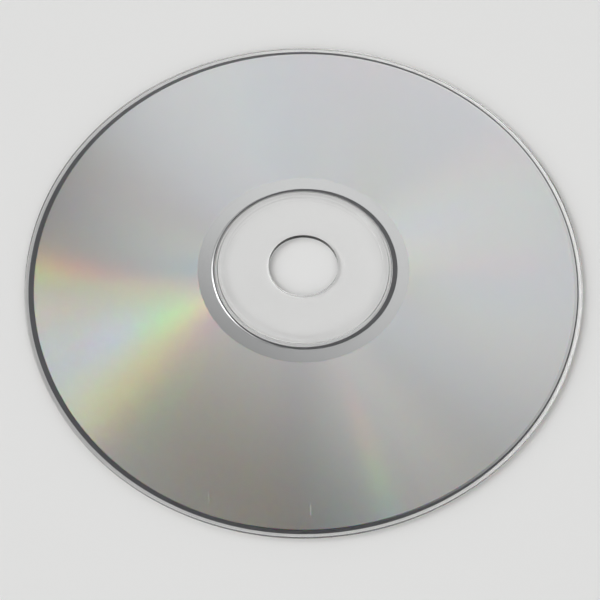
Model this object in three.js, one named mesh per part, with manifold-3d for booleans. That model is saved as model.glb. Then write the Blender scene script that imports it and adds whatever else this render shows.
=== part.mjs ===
// A pressed music disc, lying on its label side with the read side up.
// A clear moulded substrate carries a reflector film and a lacquer coat in a shallow seat on its label side.
// Millimetres, +Z up. The origin is on the spindle axis, in the plane of the label side.
import * as THREE from "three";
import { mergeVertices } from "three/addons/utils/BufferGeometryUtils.js";
import Module from "manifold-3d";

// Overall sizes of the moulding
const discDiameter = 120;
const holeDiameter = 15;
const discThickness = 1.2;
const rimChamfer = 0.15;
const holeChamfer = 0.1;

// Gate land, a shallow step down around the hole on the read side, where the moulding was cut from its sprue
const gateLandDiameter = 20.8;
const gateLandDepth = 0.05;

// Stacking ring, a low moulded ring that stands up from the read side
const stackingRingDiameter = 36.1; // across its outer foot
const stackingRingWidth = 0.9;
const stackingRingHeight = 0.2;
const stackingRingSlope = 0.2; // radial run of each flank

// Groove that the stamper holder leaves in the label side
const grooveStep = 0.45; // from the stacking ring's outer foot to the groove
const grooveWidth = 0.75;
const grooveDepth = 0.2;
const grooveSlope = 0.15; // radial run of each flank

// Coatings on the label side. The lacquer seals both edges of the film.
const filmThickness = 0.02;
const coatThickness = 0.03;
const hubLand = 0.1; // from the groove to the coat
const innerSeal = 0.6; // coat past the film at the hub
const outerSeal = 0.7; // coat past the film at the rim
const clearRim = 0.8; // bare moulding outside the coat
const filmOffset = 0.45; // the film's mask sat a little to one side, towards +X

// Facets of every round section
const facetsAround = 96;

// Radii and levels worked out from the sizes above
const discRadius = discDiameter / 2;
const holeRadius = holeDiameter / 2;
const ringOuter = stackingRingDiameter / 2;
const ringInner = ringOuter - stackingRingWidth;
const grooveInner = ringOuter + grooveStep;
const grooveOuter = grooveInner + grooveWidth;
const coatInner = grooveOuter + hubLand;
const coatOuter = discRadius - clearRim;
const filmInner = coatInner + innerSeal;
const filmOuter = coatOuter - outerSeal;
const filmSeat = coatThickness + filmThickness;
const ringTop = discThickness + stackingRingHeight;
const gateLandRadius = gateLandDiameter / 2;
const gateLandTop = discThickness - gateLandDepth;

// Turns a closed outline of [radius, height] corners about the Z axis.
// The outline runs outwards along its underside, up its outer wall and back along its top.
function turned(outline) {
  const corners = [...outline, outline[0]].map(([radius, height]) => new THREE.Vector2(radius, height));
  const geometry = new THREE.LatheGeometry(corners, facetsAround);
  geometry.rotateX(Math.PI / 2);
  return geometry;
}

// A flat ring with square edges
function flatRing(innerRadius, outerRadius, bottom, top) {
  return turned([
    [innerRadius, bottom],
    [outerRadius, bottom],
    [outerRadius, top],
    [innerRadius, top],
  ]);
}

const wasm = await Module();
wasm.setup();

// A turned geometry as a solid that can be cut
function toSolid(geometry) {
  const bare = geometry.clone();
  bare.deleteAttribute("normal");
  bare.deleteAttribute("uv");
  const merged = mergeVertices(bare);
  return new wasm.Manifold(
    new wasm.Mesh({
      numProp: 3,
      vertProperties: new Float32Array(merged.getAttribute("position").array),
      triVerts: new Uint32Array(merged.getIndex().array),
    }),
  );
}

// A cut solid as a geometry again
function toGeometry(solid) {
  const mesh = solid.getMesh();
  const geometry = new THREE.BufferGeometry();
  geometry.setAttribute("position", new THREE.BufferAttribute(new Float32Array(mesh.vertProperties), 3));
  geometry.setIndex(new THREE.BufferAttribute(new Uint32Array(mesh.triVerts), 1));
  geometry.computeVertexNormals();
  return geometry;
}

// The clear moulding, with the seat of the coat turned and the seat of the film cut
function substrateGeometry() {
  const body = turned([
    [holeRadius + holeChamfer, 0],
    [grooveInner, 0],
    [grooveInner + grooveSlope, grooveDepth],
    [grooveOuter - grooveSlope, grooveDepth],
    [grooveOuter, 0],
    [coatInner, 0],
    [coatInner, coatThickness],
    [coatOuter, coatThickness],
    [coatOuter, 0],
    [discRadius - rimChamfer, 0],
    [discRadius, rimChamfer],
    [discRadius, discThickness - rimChamfer],
    [discRadius - rimChamfer, discThickness],
    [ringOuter, discThickness],
    [ringOuter - stackingRingSlope, ringTop],
    [ringInner + stackingRingSlope, ringTop],
    [ringInner, discThickness],
    [gateLandRadius, discThickness],
    [gateLandRadius, gateLandTop],
    [holeRadius + holeChamfer, gateLandTop],
    [holeRadius, gateLandTop - holeChamfer],
    [holeRadius, holeChamfer],
  ]);
  // The cutter starts below the label side, in the open seat of the coat.
  const seatCutter = flatRing(filmInner, filmOuter, -discThickness, filmSeat);
  seatCutter.translate(filmOffset, 0, 0);
  return toGeometry(toSolid(body).subtract(toSolid(seatCutter)));
}

function namedMesh(name, geometry, finish) {
  const mesh = new THREE.Mesh(geometry, new THREE.MeshStandardMaterial(finish));
  mesh.name = name;
  return mesh;
}

const substrate = namedMesh("polycarbonate_disc", substrateGeometry(), {
  color: 0xe3e7e5,
  roughness: 0.05,
  metalness: 0,
  transparent: true,
  opacity: 0.4,
});

const film = namedMesh("aluminium_film", flatRing(filmInner, filmOuter, coatThickness, filmSeat), {
  color: 0xc8cccd,
  roughness: 0.12,
  metalness: 1,
});
film.position.x = filmOffset;

const labelCoat = namedMesh("label_coat", flatRing(coatInner, coatOuter, 0, coatThickness), {
  color: 0x5e5f62,
  roughness: 0.35,
  metalness: 0,
});

const disc = new THREE.Group();
disc.add(substrate, film, labelCoat);

export default disc;
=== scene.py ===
import bpy
import bmesh
import math
from mathutils import Matrix, Vector


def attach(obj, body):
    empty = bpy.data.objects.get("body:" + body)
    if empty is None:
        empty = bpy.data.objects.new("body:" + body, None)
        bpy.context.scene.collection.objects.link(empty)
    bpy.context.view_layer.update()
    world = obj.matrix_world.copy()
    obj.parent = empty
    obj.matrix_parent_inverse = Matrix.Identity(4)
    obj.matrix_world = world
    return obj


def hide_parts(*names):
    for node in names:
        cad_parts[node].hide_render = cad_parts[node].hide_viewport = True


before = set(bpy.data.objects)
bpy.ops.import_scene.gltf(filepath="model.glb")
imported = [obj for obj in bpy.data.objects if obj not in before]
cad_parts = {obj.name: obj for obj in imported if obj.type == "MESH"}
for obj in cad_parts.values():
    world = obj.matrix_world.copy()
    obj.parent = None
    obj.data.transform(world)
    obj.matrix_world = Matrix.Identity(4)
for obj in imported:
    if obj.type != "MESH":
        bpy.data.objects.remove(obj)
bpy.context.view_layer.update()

mm = 0.001
scene = bpy.context.scene
scene.view_settings.view_transform = "Standard"
scene.cycles.blur_glossy = 0.0     # keeps the disc clear for the floor's light that passes through it


# small helpers

def hexLinear(code):
    # sRGB hex to linear rgb with full alpha
    parts = [int(code[i:i + 2], 16) / 255 for i in (1, 3, 5)]
    lin = [c / 12.92 if c <= 0.04045 else ((c + 0.055) / 1.055) ** 2.4 for c in parts]
    return (*lin, 1.0)


def addNode(tree, kind, settings=None, values=None, links=None):
    # one node, with its settings, its own values and what comes into it
    node = tree.nodes.new(kind)
    for name, value in (settings or {}).items():
        setattr(node, name, value)
    for name, value in (values or {}).items():
        node.inputs[name].default_value = value
    for name, source in (links or {}).items():
        tree.links.new(source, node.inputs[name])
    return node


def newMaterial(name):
    mat = bpy.data.materials.new(name)
    mat.use_nodes = True
    mat.node_tree.nodes.clear()
    return mat, mat.node_tree


def spunRing(section, steps):
    # turns a closed section of (radius, height) corners in mm once round the disc's axis
    bm = bmesh.new()
    verts = [bm.verts.new((r * mm, 0, z * mm)) for r, z in section]
    edges = [bm.edges.new((verts[i - 1], verts[i])) for i in range(len(verts))]
    bmesh.ops.spin(bm, geom=verts + edges, cent=(0, 0, 0), axis=(0, 0, 1), angle=math.tau,
                   steps=steps, use_merge=True)
    bmesh.ops.remove_doubles(bm, verts=bm.verts, dist=1e-7)
    bmesh.ops.recalc_face_normals(bm, faces=bm.faces)
    return bm


def circleEdges(bm, radius, height):
    # the edges of one circle of a spun ring
    near = 1e-6                    # m
    found = []
    for e in bm.edges:
        offRadius = max(abs(v.co.xy.length - radius * mm) for v in e.verts)
        offHeight = max(abs(v.co.z - height * mm) for v in e.verts)
        if max(offRadius, offHeight) < near:
            found.append(e)
    return found


def roundOff(bm, radius, height, size, segments):
    bmesh.ops.bevel(bm, geom=circleEdges(bm, radius, height), offset=size * mm, offset_type="OFFSET",
                    segments=segments, profile=0.5, affect="EDGES", clamp_overlap=True, material=-1)


def finishPiece(bm, name, mat, node):
    # level faces stay flat so that they mirror truly, and the walls are shaded smooth
    level = 0.9999
    for f in bm.faces:
        f.smooth = abs(f.normal.z) < level
    mesh = bpy.data.meshes.new(name)
    bm.to_mesh(mesh)
    bm.free()
    mesh.materials.append(mat)
    obj = bpy.data.objects.new(name, mesh)
    scene.collection.objects.link(obj)
    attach(obj, "root")
    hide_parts(node)
    return obj


# camera, solved from the disc's outline in the photo

cameraSetup = {
    "frameSize": 600,              # pixels on each side
    "focal": 1150,                 # focal length in those pixels
    "distance": 249.6,             # mm from the disc's centre
    "elevation": 60.54,            # degrees above the floor
    "centrePixel": (303.3, 267.5),  # where the disc's centre shows
    "sensor": 36.0,                # mm
    "clip": (0.01, 20),            # m
}


def makeCamera():
    c = cameraSetup
    data = bpy.data.cameras.new("camera")
    data.sensor_width = c["sensor"]
    data.lens = c["sensor"] * c["focal"] / c["frameSize"]
    data.clip_start, data.clip_end = c["clip"]
    cam = bpy.data.objects.new("camera", data)
    scene.collection.objects.link(cam)
    up = math.radians(c["elevation"])
    back = Vector((0, -math.cos(up), math.sin(up)))
    turn = Matrix.Rotation(math.pi / 2 - up, 3, "X")
    half = c["frameSize"] / 2
    across, down = c["centrePixel"]
    aim = Vector(((across - half) / c["focal"], (half - down) / c["focal"], -1))
    pan = Vector((0, 0, -1)).rotation_difference(aim).inverted()
    cam.matrix_world = Matrix.Translation(back * c["distance"] * mm) @ (turn @ pan.to_matrix()).to_4x4()
    scene.camera = cam


# room light

# The room that the mirror shows. All but the small lamp began as a fit to the streaks in the photo, and were
# then thinned out, rounded and adjusted. Each light has a strength, the direction that it comes from
# (x and y of a unit vector), half sizes there, a turn in degrees and an edge, where a higher number is a
# sharper edge. A negative strength is a dark thing in the room.
roomLight = {
    "level": 1.03,
    "even": 0.6,
    "towardsRight": -0.48,         # the even light changes from side to side
    "towardsBack": -0.62,
    "wallLevel": 0.85,             # pale wall all round, seen low down
    "wallTop": 0.30,               # sine of the elevation where the wall has faded out
    "wallEdge": 0.14,
    "lights": {
        "tall window": (1.8, (-0.79, 0.10), (0.09, 0.44), 15, 8),
        "bright pane": (4.0, (-0.73, 0.20), (0.04, 0.15), 15, 2),
        "lamp by the window": (4.0, (-0.63, -0.05), (0.03, 0.14), 40, 2),
        "upper lamp": (1.6, (-0.59, 0.43), (0.035, 0.10), -10, 2),
        "slanting strip": (1.2, (-0.565, 0.475), (0.02, 0.085), 50, 2),
        "near lamp": (2.2, (-0.42, 0.32), (0.03, 0.07), 10, 2),
        "wall under the upper lamp": (0.9, (-0.60, 0.30), (0.07, 0.21), -50, 5),
        "wall under the window": (1.3, (-0.50, 0.18), (0.09, 0.14), -15, 3),
        "ceiling": (0.6, (-0.15, 0.58), (0.75, 0.38), 20, 1.6),
        "pale patch of ceiling": (0.12, (0.26, 0.10), (0.50, 0.17), -55, 8),
        "dark shelf": (-0.8, (-0.06, 0.22), (0.60, 0.23), -30, 3),
        "dark corner": (-0.72, (-0.31, 0.61), (0.09, 0.17), 50, 2),
        "overhead lamp": (0.95, (0.22, -0.02), (0.15, 0.22), 60, 3),
        "small lamp overhead": (0.8, (0.17, -0.01), (0.03, 0.03), 0, 2),
        "dark beam": (-1.5, (0.28, 0.57), (0.04, 0.17), 25, 2),
        "bright wall at the right": (0.58, (0.56, 0.39), (0.16, 0.80), 50, 2),
        "dark thing in front": (-0.65, (0.13, -0.34), (0.25, 0.21), -10, 4),
    },
}


def makeRoom():
    r = roomLight
    world = bpy.data.worlds.new("studio room")
    scene.world = world
    world.use_nodes = True
    tree = world.node_tree
    tree.nodes.clear()
    place = addNode(tree, "ShaderNodeTexCoord").outputs["Generated"]
    parts = addNode(tree, "ShaderNodeSeparateXYZ", links={"Vector": place})
    flat = addNode(tree, "ShaderNodeCombineXYZ", links={"X": parts.outputs["X"], "Y": parts.outputs["Y"]})
    slope = addNode(tree, "ShaderNodeVectorMath", {"operation": "DOT_PRODUCT"},
                    {1: (r["towardsRight"], r["towardsBack"], 0)}, {0: flat.outputs[0]})
    total = addNode(tree, "ShaderNodeMath", {"operation": "ADD"}, {1: r["even"]},
                    {0: slope.outputs["Value"]})
    for strength, spot, sizes, turn, edge in r["lights"].values():
        local = addNode(tree, "ShaderNodeMapping", {"vector_type": "TEXTURE"},
                        {"Location": (*spot, 0), "Rotation": (0, 0, math.radians(turn)), "Scale": (*sizes, 1)},
                        {"Vector": flat.outputs[0]})
        reach = addNode(tree, "ShaderNodeVectorMath", {"operation": "LENGTH"}, links={0: local.outputs[0]})
        power = addNode(tree, "ShaderNodeMath", {"operation": "POWER"}, {1: edge},
                        {0: reach.outputs["Value"]})
        minus = addNode(tree, "ShaderNodeMath", {"operation": "MULTIPLY"}, {1: -1.0}, {0: power.outputs[0]})
        soft = addNode(tree, "ShaderNodeMath", {"operation": "EXPONENT"}, links={0: minus.outputs[0]})
        total = addNode(tree, "ShaderNodeMath", {"operation": "MULTIPLY_ADD"}, {1: strength},
                        {0: soft.outputs[0], 2: total.outputs[0]})
    lit = addNode(tree, "ShaderNodeMath", {"operation": "MAXIMUM"}, {1: 0.0}, {0: total.outputs[0]})
    level = addNode(tree, "ShaderNodeMath", {"operation": "MULTIPLY"}, {1: r["level"]}, {0: lit.outputs[0]})
    above = addNode(tree, "ShaderNodeMapRange", {"interpolation_type": "SMOOTHSTEP"},
                    {"From Min": r["wallEdge"], "From Max": r["wallTop"]}, {"Value": parts.outputs["Z"]})
    bright = addNode(tree, "ShaderNodeMix", {"data_type": "FLOAT"}, {2: r["wallLevel"]},
                     {0: above.outputs[0], 3: level.outputs[0]})
    light = addNode(tree, "ShaderNodeBackground", {}, {"Color": hexLinear("#ffffff")},
                    {"Strength": bright.outputs[0]})
    addNode(tree, "ShaderNodeOutputWorld", links={"Surface": light.outputs[0]})


# floor

floorSetup = {
    "side": 30.0,                  # m
    "drop": 0.05,                  # mm below the disc, so that the faces don't coincide
    "colour": "#efefee",
    "roughness": 0.9,
}


def makeFloor():
    f = floorSetup
    bm = bmesh.new()
    bmesh.ops.create_grid(bm, x_segments=1, y_segments=1, size=f["side"] / 2)
    bmesh.ops.translate(bm, verts=bm.verts, vec=(0, 0, -f["drop"] * mm))
    mesh = bpy.data.meshes.new("floor")
    bm.to_mesh(mesh)
    bm.free()
    mat, tree = newMaterial("matt painted board")
    skin = addNode(tree, "ShaderNodeBsdfPrincipled", {},
                   {"Base Color": hexLinear(f["colour"]), "Roughness": f["roughness"]})
    addNode(tree, "ShaderNodeOutputMaterial", links={"Surface": skin.outputs[0]})
    mesh.materials.append(mat)
    floor = bpy.data.objects.new("floor", mesh)
    scene.collection.objects.link(floor)


# clear moulded disc

# All sizes in mm. Those of the moulding have the same values as the solid's.
clearDisc = {
    "radius": 60.0,
    "hole": 7.5,
    "thickness": 1.2,
    "gateLand": 10.4,              # shallow step round the hole on the read side
    "gateDepth": 0.05,
    "sprueRing": 12.0,             # shallow ring that the mould's insert leaves
    "sprueRingWidth": 0.3,
    "sprueRingDepth": 0.02,
    "ringOuter": 18.05,            # stacking ring on the read side
    "ringWidth": 0.9,
    "ringHeight": 0.2,
    "ringSlope": 0.2,
    "grooveStep": 0.45,            # from the stacking ring to the stamper holder's groove on the label side
    "grooveWidth": 0.75,
    "grooveDepth": 0.2,
    "grooveSlope": 0.15,
    "hubLand": 0.1,                # from the groove to the seat of the coat
    "clearRim": 0.8,               # bare moulding outside that seat
    "seatDepth": 0.03,
    "rimRounding": (0.18, 6),      # each rounding: size and segments
    "holeRounding": (0.1, 5),
    "ringRounding": (0.08, 3),
    "grooveRounding": (0.06, 3),
    "steps": 360,
    "colour": "#fbfbfb",
    "index": 1.585,
    "smudgeSize": 9.0,             # as wide as a fingertip's smear
    "smudgeDetail": 3.0,
    "smudgeRange": (0.5, 0.8),     # the noise from where a smear starts to where it is full
    "smudgeRoughness": 0.03,
    "scratchRoughness": 0.45,
    "scratchEdge": (0.4, 1.1),     # where a scratch starts to fade and has faded, in half sizes
    "topFace": 0.98,               # scratches lie above this share of the thickness
    "scratches": [                 # place of the middle, length, width, lean in degrees and strength
        ((-18.45, -52.1), 3.0, 0.30, 3.0, 0.20),
        ((-6.45, -54.4), 2.2, 0.30, 0.0, 0.16),
        ((1.42, -54.6), 3.4, 0.32, 2.0, 0.24),
    ],
}

# Radii that the coatings share with the moulding
grooveInner = clearDisc["ringOuter"] + clearDisc["grooveStep"]
grooveOuter = grooveInner + clearDisc["grooveWidth"]
seatInner = grooveOuter + clearDisc["hubLand"]
seatOuter = clearDisc["radius"] - clearDisc["clearRim"]


def scratchMask(tree, place):
    # 1 would be a fully scuffed surface, on the read side only
    d = clearDisc
    parts = addNode(tree, "ShaderNodeSeparateXYZ", links={"Vector": place})
    onTop = addNode(tree, "ShaderNodeMath", {"operation": "GREATER_THAN"},
                    {1: d["thickness"] * d["topFace"] * mm}, {0: parts.outputs["Z"]})
    flat = addNode(tree, "ShaderNodeVectorMath", {"operation": "MULTIPLY"}, {1: (1, 1, 0)}, {0: place})
    marks = None
    for (x, y), length, width, lean, strength in d["scratches"]:
        local = addNode(tree, "ShaderNodeMapping", {"vector_type": "TEXTURE"},
                        {"Location": (x * mm, y * mm, 0), "Rotation": (0, 0, math.radians(lean)),
                         "Scale": (width / 2 * mm, length / 2 * mm, 1)},
                        {"Vector": flat.outputs[0]})
        reach = addNode(tree, "ShaderNodeVectorMath", {"operation": "LENGTH"}, links={0: local.outputs[0]})
        line = addNode(tree, "ShaderNodeMapRange", {"interpolation_type": "SMOOTHSTEP"},
                       {"From Min": d["scratchEdge"][0], "From Max": d["scratchEdge"][1],
                        "To Min": strength, "To Max": 0.0},
                       {"Value": reach.outputs["Value"]})
        if marks is None:
            marks = line
        else:
            marks = addNode(tree, "ShaderNodeMath", {"operation": "ADD"},
                            links={0: marks.outputs[0], 1: line.outputs[0]})
    return addNode(tree, "ShaderNodeMath", {"operation": "MULTIPLY"},
                   links={0: marks.outputs[0], 1: onTop.outputs[0]}).outputs[0]


def clearMaterial():
    # Optical polycarbonate, injection moulded against polished steel: water clear and glass smooth, with a
    # high index that makes its edges gleam. Handling has left faint smears and a few fine scratches on the
    # read side.
    d = clearDisc
    mat, tree = newMaterial("clear moulded polycarbonate")
    place = addNode(tree, "ShaderNodeTexCoord").outputs["Object"]
    smudge = addNode(tree, "ShaderNodeTexNoise", {},
                     {"Scale": 1 / (d["smudgeSize"] * mm), "Detail": d["smudgeDetail"]}, {"Vector": place})
    haze = addNode(tree, "ShaderNodeMapRange", {},
                   {"From Min": d["smudgeRange"][0], "From Max": d["smudgeRange"][1],
                    "To Min": 0.0, "To Max": d["smudgeRoughness"]},
                   {"Value": smudge.outputs[0]})
    scuff = scratchMask(tree, place)
    clear = addNode(tree, "ShaderNodeMath", {"operation": "SUBTRACT"}, {0: 1.0}, {1: scuff})
    rough = addNode(tree, "ShaderNodeMath", {"operation": "MULTIPLY_ADD"}, {1: d["scratchRoughness"]},
                    {0: scuff, 2: haze.outputs[0]})
    skin = addNode(tree, "ShaderNodeBsdfPrincipled", {},
                   {"Base Color": hexLinear(d["colour"]), "IOR": d["index"]},
                   {"Roughness": rough.outputs[0], "Transmission Weight": clear.outputs[0]})
    addNode(tree, "ShaderNodeOutputMaterial", links={"Surface": skin.outputs[0]})
    return mat


def makeDisc():
    d = clearDisc
    top = d["thickness"]
    ringInner = d["ringOuter"] - d["ringWidth"]
    ringTop = top + d["ringHeight"]
    gateTop = top - d["gateDepth"]
    bm = spunRing([
        (d["hole"], 0),
        (grooveInner, 0),
        (grooveInner + d["grooveSlope"], d["grooveDepth"]),
        (grooveOuter - d["grooveSlope"], d["grooveDepth"]),
        (grooveOuter, 0),
        (seatInner, 0),
        (seatInner, d["seatDepth"]),
        (seatOuter, d["seatDepth"]),
        (seatOuter, 0),
        (d["radius"], 0),
        (d["radius"], top),
        (d["ringOuter"], top),
        (d["ringOuter"] - d["ringSlope"], ringTop),
        (ringInner + d["ringSlope"], ringTop),
        (ringInner, top),
        (d["sprueRing"] + d["sprueRingWidth"] / 2, top),
        (d["sprueRing"], top - d["sprueRingDepth"]),
        (d["sprueRing"] - d["sprueRingWidth"] / 2, top),
        (d["gateLand"], top),
        (d["gateLand"] - d["gateDepth"], gateTop),
        (d["hole"], gateTop),
    ], d["steps"])
    roundings = {
        "rimRounding": [(d["radius"], 0), (d["radius"], top)],
        "holeRounding": [(d["hole"], 0), (d["hole"], gateTop)],
        "ringRounding": [(d["ringOuter"], top), (d["ringOuter"] - d["ringSlope"], ringTop),
                         (ringInner + d["ringSlope"], ringTop), (ringInner, top)],
        "grooveRounding": [(grooveInner + d["grooveSlope"], d["grooveDepth"]),
                           (grooveOuter - d["grooveSlope"], d["grooveDepth"])],
    }
    for name, circles in roundings.items():
        for radius, height in circles:
            roundOff(bm, radius, height, *d[name])
    finishPiece(bm, "clear_disc", clearMaterial(), "polycarbonate_disc")


# reflector film

reflectorFilm = {
    "innerSeal": 0.6,              # mm, the coat reaches this far past the film at the hub
    "outerSeal": 0.7,              # and this far at the rim
    "thickness": 0.02,
    "offset": 0.45,                # towards +X
    "sink": 0.004,                 # film and coat reach this far into the moulding, so no air lies between
    "stepWidth": 0.5,              # inner edge, where the film can climb a moulded step
    "stepLoops": 6,
    "stepSlope": 0.19,
    "colour": "#dfe0e0",
    "mirrorRoughness": (0.05, 0.09),
    "grainSize": 1.4,              # mm, patches of slightly duller metal
    "grainDetail": 4.0,
    "pitch": 1600.0,               # nm between turns of the track
    "index": 1.585,                # of the moulding that the light crosses
    "meanCosine": 0.95,            # of the light's slant inside the moulding
    "band": (22.9, 58.35),         # mm, where the recorded band starts and ends
    "bandShare": 0.24,             # light that the track takes out of the plain mirror image
    "waves": (415.0, 685.0),       # nm, the shortest and the longest
    # each order to either side: share of the light, number of wavelengths, roughness of one wavelength's image
    "orders": {1: (0.1175, 13, 0.055), 2: (0.0358, 7, 0.10)},
}


def spectrumColour(nm):
    # the eye's three responses to one wavelength, as linear rgb, from a few bell curves in nm
    def bell(peak, below, above):
        width = below if nm < peak else above
        return math.exp(-0.5 * ((nm - peak) / width) ** 2)
    x = 1.056 * bell(599.8, 37.9, 31.0) + 0.362 * bell(442.0, 16.0, 26.7) - 0.065 * bell(501.1, 20.4, 26.2)
    y = 0.821 * bell(568.8, 46.9, 40.5) + 0.286 * bell(530.9, 16.3, 31.1)
    z = 1.217 * bell(437.0, 11.8, 36.0) + 0.681 * bell(459.0, 26.0, 13.8)
    red = 3.2406 * x - 1.5372 * y - 0.4986 * z
    green = -0.9689 * x + 1.8758 * y + 0.0415 * z
    blue = 0.0557 * x - 0.2040 * y + 1.0570 * z
    return [max(c, 0.0) for c in (red, green, blue)]


def trackLobes(tree, across):
    # the mirror images that the track throws to either side, one for each order and wavelength
    f = reflectorFilm
    facing = addNode(tree, "ShaderNodeNewGeometry").outputs["Normal"]
    shortest, longest = f["waves"]
    lobes = None
    for order, (share, count, blur) in f["orders"].items():
        waves = [shortest + (longest - shortest) * i / (count - 1) for i in range(count)]
        colours = [spectrumColour(w) for w in waves]
        sums = [sum(c[i] for c in colours) for i in range(3)]
        for side in (order, -order):
            for wave, colour in zip(waves, colours):
                tilt = side * wave / (f["pitch"] * f["index"]) / (2 * f["meanCosine"])
                lean = addNode(tree, "ShaderNodeVectorMath", {"operation": "MULTIPLY_ADD"},
                               {1: (tilt,) * 3}, {0: across, 2: facing})
                normal = addNode(tree, "ShaderNodeVectorMath", {"operation": "NORMALIZE"},
                                 links={0: lean.outputs[0]})
                tint = [colour[i] / sums[i] * share / f["bandShare"] for i in range(3)]
                lobe = addNode(tree, "ShaderNodeBsdfAnisotropic", {"distribution": "BECKMANN"},
                               {"Color": (*tint, 1.0), "Roughness": blur}, {"Normal": normal.outputs[0]})
                if lobes is None:
                    lobes = lobe
                else:
                    lobes = addNode(tree, "ShaderNodeAddShader",
                                    links={0: lobes.outputs[0], 1: lobe.outputs[0]})
    return lobes


def filmMaterial():
    # Sputtered aluminium over a moulded spiral track: a mirror that also throws each colour aside by an angle
    # of its own.
    f = reflectorFilm
    mat, tree = newMaterial("sputtered aluminium")
    place = addNode(tree, "ShaderNodeTexCoord").outputs["Object"]
    grain = addNode(tree, "ShaderNodeTexNoise", {},
                    {"Scale": 1 / (f["grainSize"] * mm), "Detail": f["grainDetail"]}, {"Vector": place})
    dull = addNode(tree, "ShaderNodeMapRange", {},
                   {"To Min": f["mirrorRoughness"][0], "To Max": f["mirrorRoughness"][1]},
                   {"Value": grain.outputs[0]})
    mirror = addNode(tree, "ShaderNodeBsdfPrincipled", {},
                     {"Base Color": hexLinear(f["colour"]), "Metallic": 1.0}, {"Roughness": dull.outputs[0]})
    flat = addNode(tree, "ShaderNodeVectorMath", {"operation": "MULTIPLY"}, {1: (1, 1, 0)}, {0: place})
    radius = addNode(tree, "ShaderNodeVectorMath", {"operation": "LENGTH"}, links={0: flat.outputs[0]})
    outward = addNode(tree, "ShaderNodeVectorMath", {"operation": "NORMALIZE"}, links={0: flat.outputs[0]})
    across = addNode(tree, "ShaderNodeVectorTransform",
                     {"vector_type": "VECTOR", "convert_from": "OBJECT", "convert_to": "WORLD"},
                     links={"Vector": outward.outputs[0]})
    lobes = trackLobes(tree, across.outputs[0])
    inside = addNode(tree, "ShaderNodeMath", {"operation": "GREATER_THAN"}, {1: f["band"][0] * mm},
                     {0: radius.outputs["Value"]})
    within = addNode(tree, "ShaderNodeMath", {"operation": "LESS_THAN"}, {1: f["band"][1] * mm},
                     {0: radius.outputs["Value"]})
    band = addNode(tree, "ShaderNodeMath", {"operation": "MULTIPLY"},
                   links={0: inside.outputs[0], 1: within.outputs[0]})
    share = addNode(tree, "ShaderNodeMath", {"operation": "MULTIPLY"}, {1: f["bandShare"]},
                    {0: band.outputs[0]})
    both = addNode(tree, "ShaderNodeMixShader",
                   links={0: share.outputs[0], 1: mirror.outputs[0], 2: lobes.outputs[0]})
    addNode(tree, "ShaderNodeOutputMaterial", links={"Surface": both.outputs[0]})
    return mat


def makeFilm():
    # The film's mask sat to one side, so on the left its inner edge climbs a moulded step and catches the
    # light.
    f = reflectorFilm
    inner = seatInner + f["innerSeal"]
    outer = seatOuter - f["outerSeal"]
    low = clearDisc["seatDepth"]
    high = low + f["thickness"] + f["sink"]
    loops = [inner + f["stepWidth"] * i / f["stepLoops"] for i in range(f["stepLoops"] + 1)]
    section = [(r, low) for r in loops] + [(outer, low), (outer, high)]
    section += [(r, high) for r in reversed(loops)]
    bm = spunRing(section, clearDisc["steps"])
    bmesh.ops.translate(bm, verts=bm.verts, vec=(f["offset"] * mm, 0, 0))
    for v in bm.verts:
        v.co.z += max(0.0, inner * mm - v.co.xy.length) * f["stepSlope"]
    bm.normal_update()
    finishPiece(bm, "reflector_film", filmMaterial(), "aluminium_film")


# label coat

labelPrint = {
    "ink": "#6a6b6e",
    "inkDark": "#606165",
    "index": 1.5,
    "meshSize": 0.25,              # mm, screen's grain, three times as coarse as real threads so that it shows
    "meshShare": 0.35,             # of that grain in the ink's unevenness
    "cloudSize": 14.0,             # mm, uneven inking
    "cloudDetail": 4.0,
    "inkRange": (0.35, 0.95),      # unevenness from where the ink starts to darken to where it is darkest
    "orangePeel": 1.1,             # mm, ripple of the cured lacquer
    "peelDetail": 1.0,
    "peelHeight": 0.004,           # mm
    "roughness": (0.28, 0.42),
}


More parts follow.
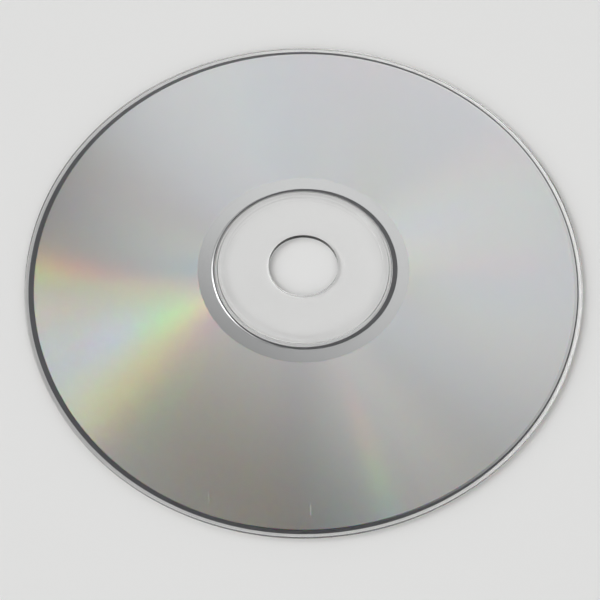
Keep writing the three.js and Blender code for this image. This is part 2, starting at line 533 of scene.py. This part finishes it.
def coatMaterial():
    # Screen printed ink under cured lacquer: an even grey with the screen's fine grain, slight clouds where the
    # ink lies thinner, and a satin sheen with a soft ripple.
    c = labelPrint
    mat, tree = newMaterial("printed ink under lacquer")
    place = addNode(tree, "ShaderNodeTexCoord").outputs["Object"]
    screen = addNode(tree, "ShaderNodeTexVoronoi", {}, {"Scale": 1 / (c["meshSize"] * mm)}, {"Vector": place})
    cloud = addNode(tree, "ShaderNodeTexNoise", {},
                    {"Scale": 1 / (c["cloudSize"] * mm), "Detail": c["cloudDetail"]}, {"Vector": place})
    thin = addNode(tree, "ShaderNodeMath", {"operation": "MULTIPLY_ADD"}, {1: c["meshShare"]},
                   {0: screen.outputs["Distance"], 2: cloud.outputs[0]})
    share = addNode(tree, "ShaderNodeMapRange", {},
                    {"From Min": c["inkRange"][0], "From Max": c["inkRange"][1]}, {"Value": thin.outputs[0]})
    ink = addNode(tree, "ShaderNodeMix", {"data_type": "RGBA"},
                  {6: hexLinear(c["ink"]), 7: hexLinear(c["inkDark"])}, {0: share.outputs[0]})
    sheen = addNode(tree, "ShaderNodeMapRange", {},
                    {"To Min": c["roughness"][0], "To Max": c["roughness"][1]}, {"Value": cloud.outputs[0]})
    ripple = addNode(tree, "ShaderNodeTexNoise", {},
                     {"Scale": 1 / (c["orangePeel"] * mm), "Detail": c["peelDetail"]}, {"Vector": place})
    bump = addNode(tree, "ShaderNodeBump", {}, {"Strength": 1.0, "Distance": c["peelHeight"] * mm},
                   {"Height": ripple.outputs[0]})
    skin = addNode(tree, "ShaderNodeBsdfPrincipled", {}, {"IOR": c["index"]},
                   {"Base Color": ink.outputs[2], "Roughness": sheen.outputs[0], "Normal": bump.outputs[0]})
    addNode(tree, "ShaderNodeOutputMaterial", links={"Surface": skin.outputs[0]})
    return mat


def makeCoat():
    high = clearDisc["seatDepth"] + reflectorFilm["sink"]
    bm = spunRing([(seatInner, 0), (seatOuter, 0), (seatOuter, high), (seatInner, high)], clearDisc["steps"])
    finishPiece(bm, "label_print", coatMaterial(), "label_coat")


# everything made in turn

makeCamera()
print("camera made")
makeRoom()
makeFloor()
print("room and floor made")
makeDisc()
print("clear disc made")
makeFilm()
print("reflector film made")
makeCoat()
print("label coat made")
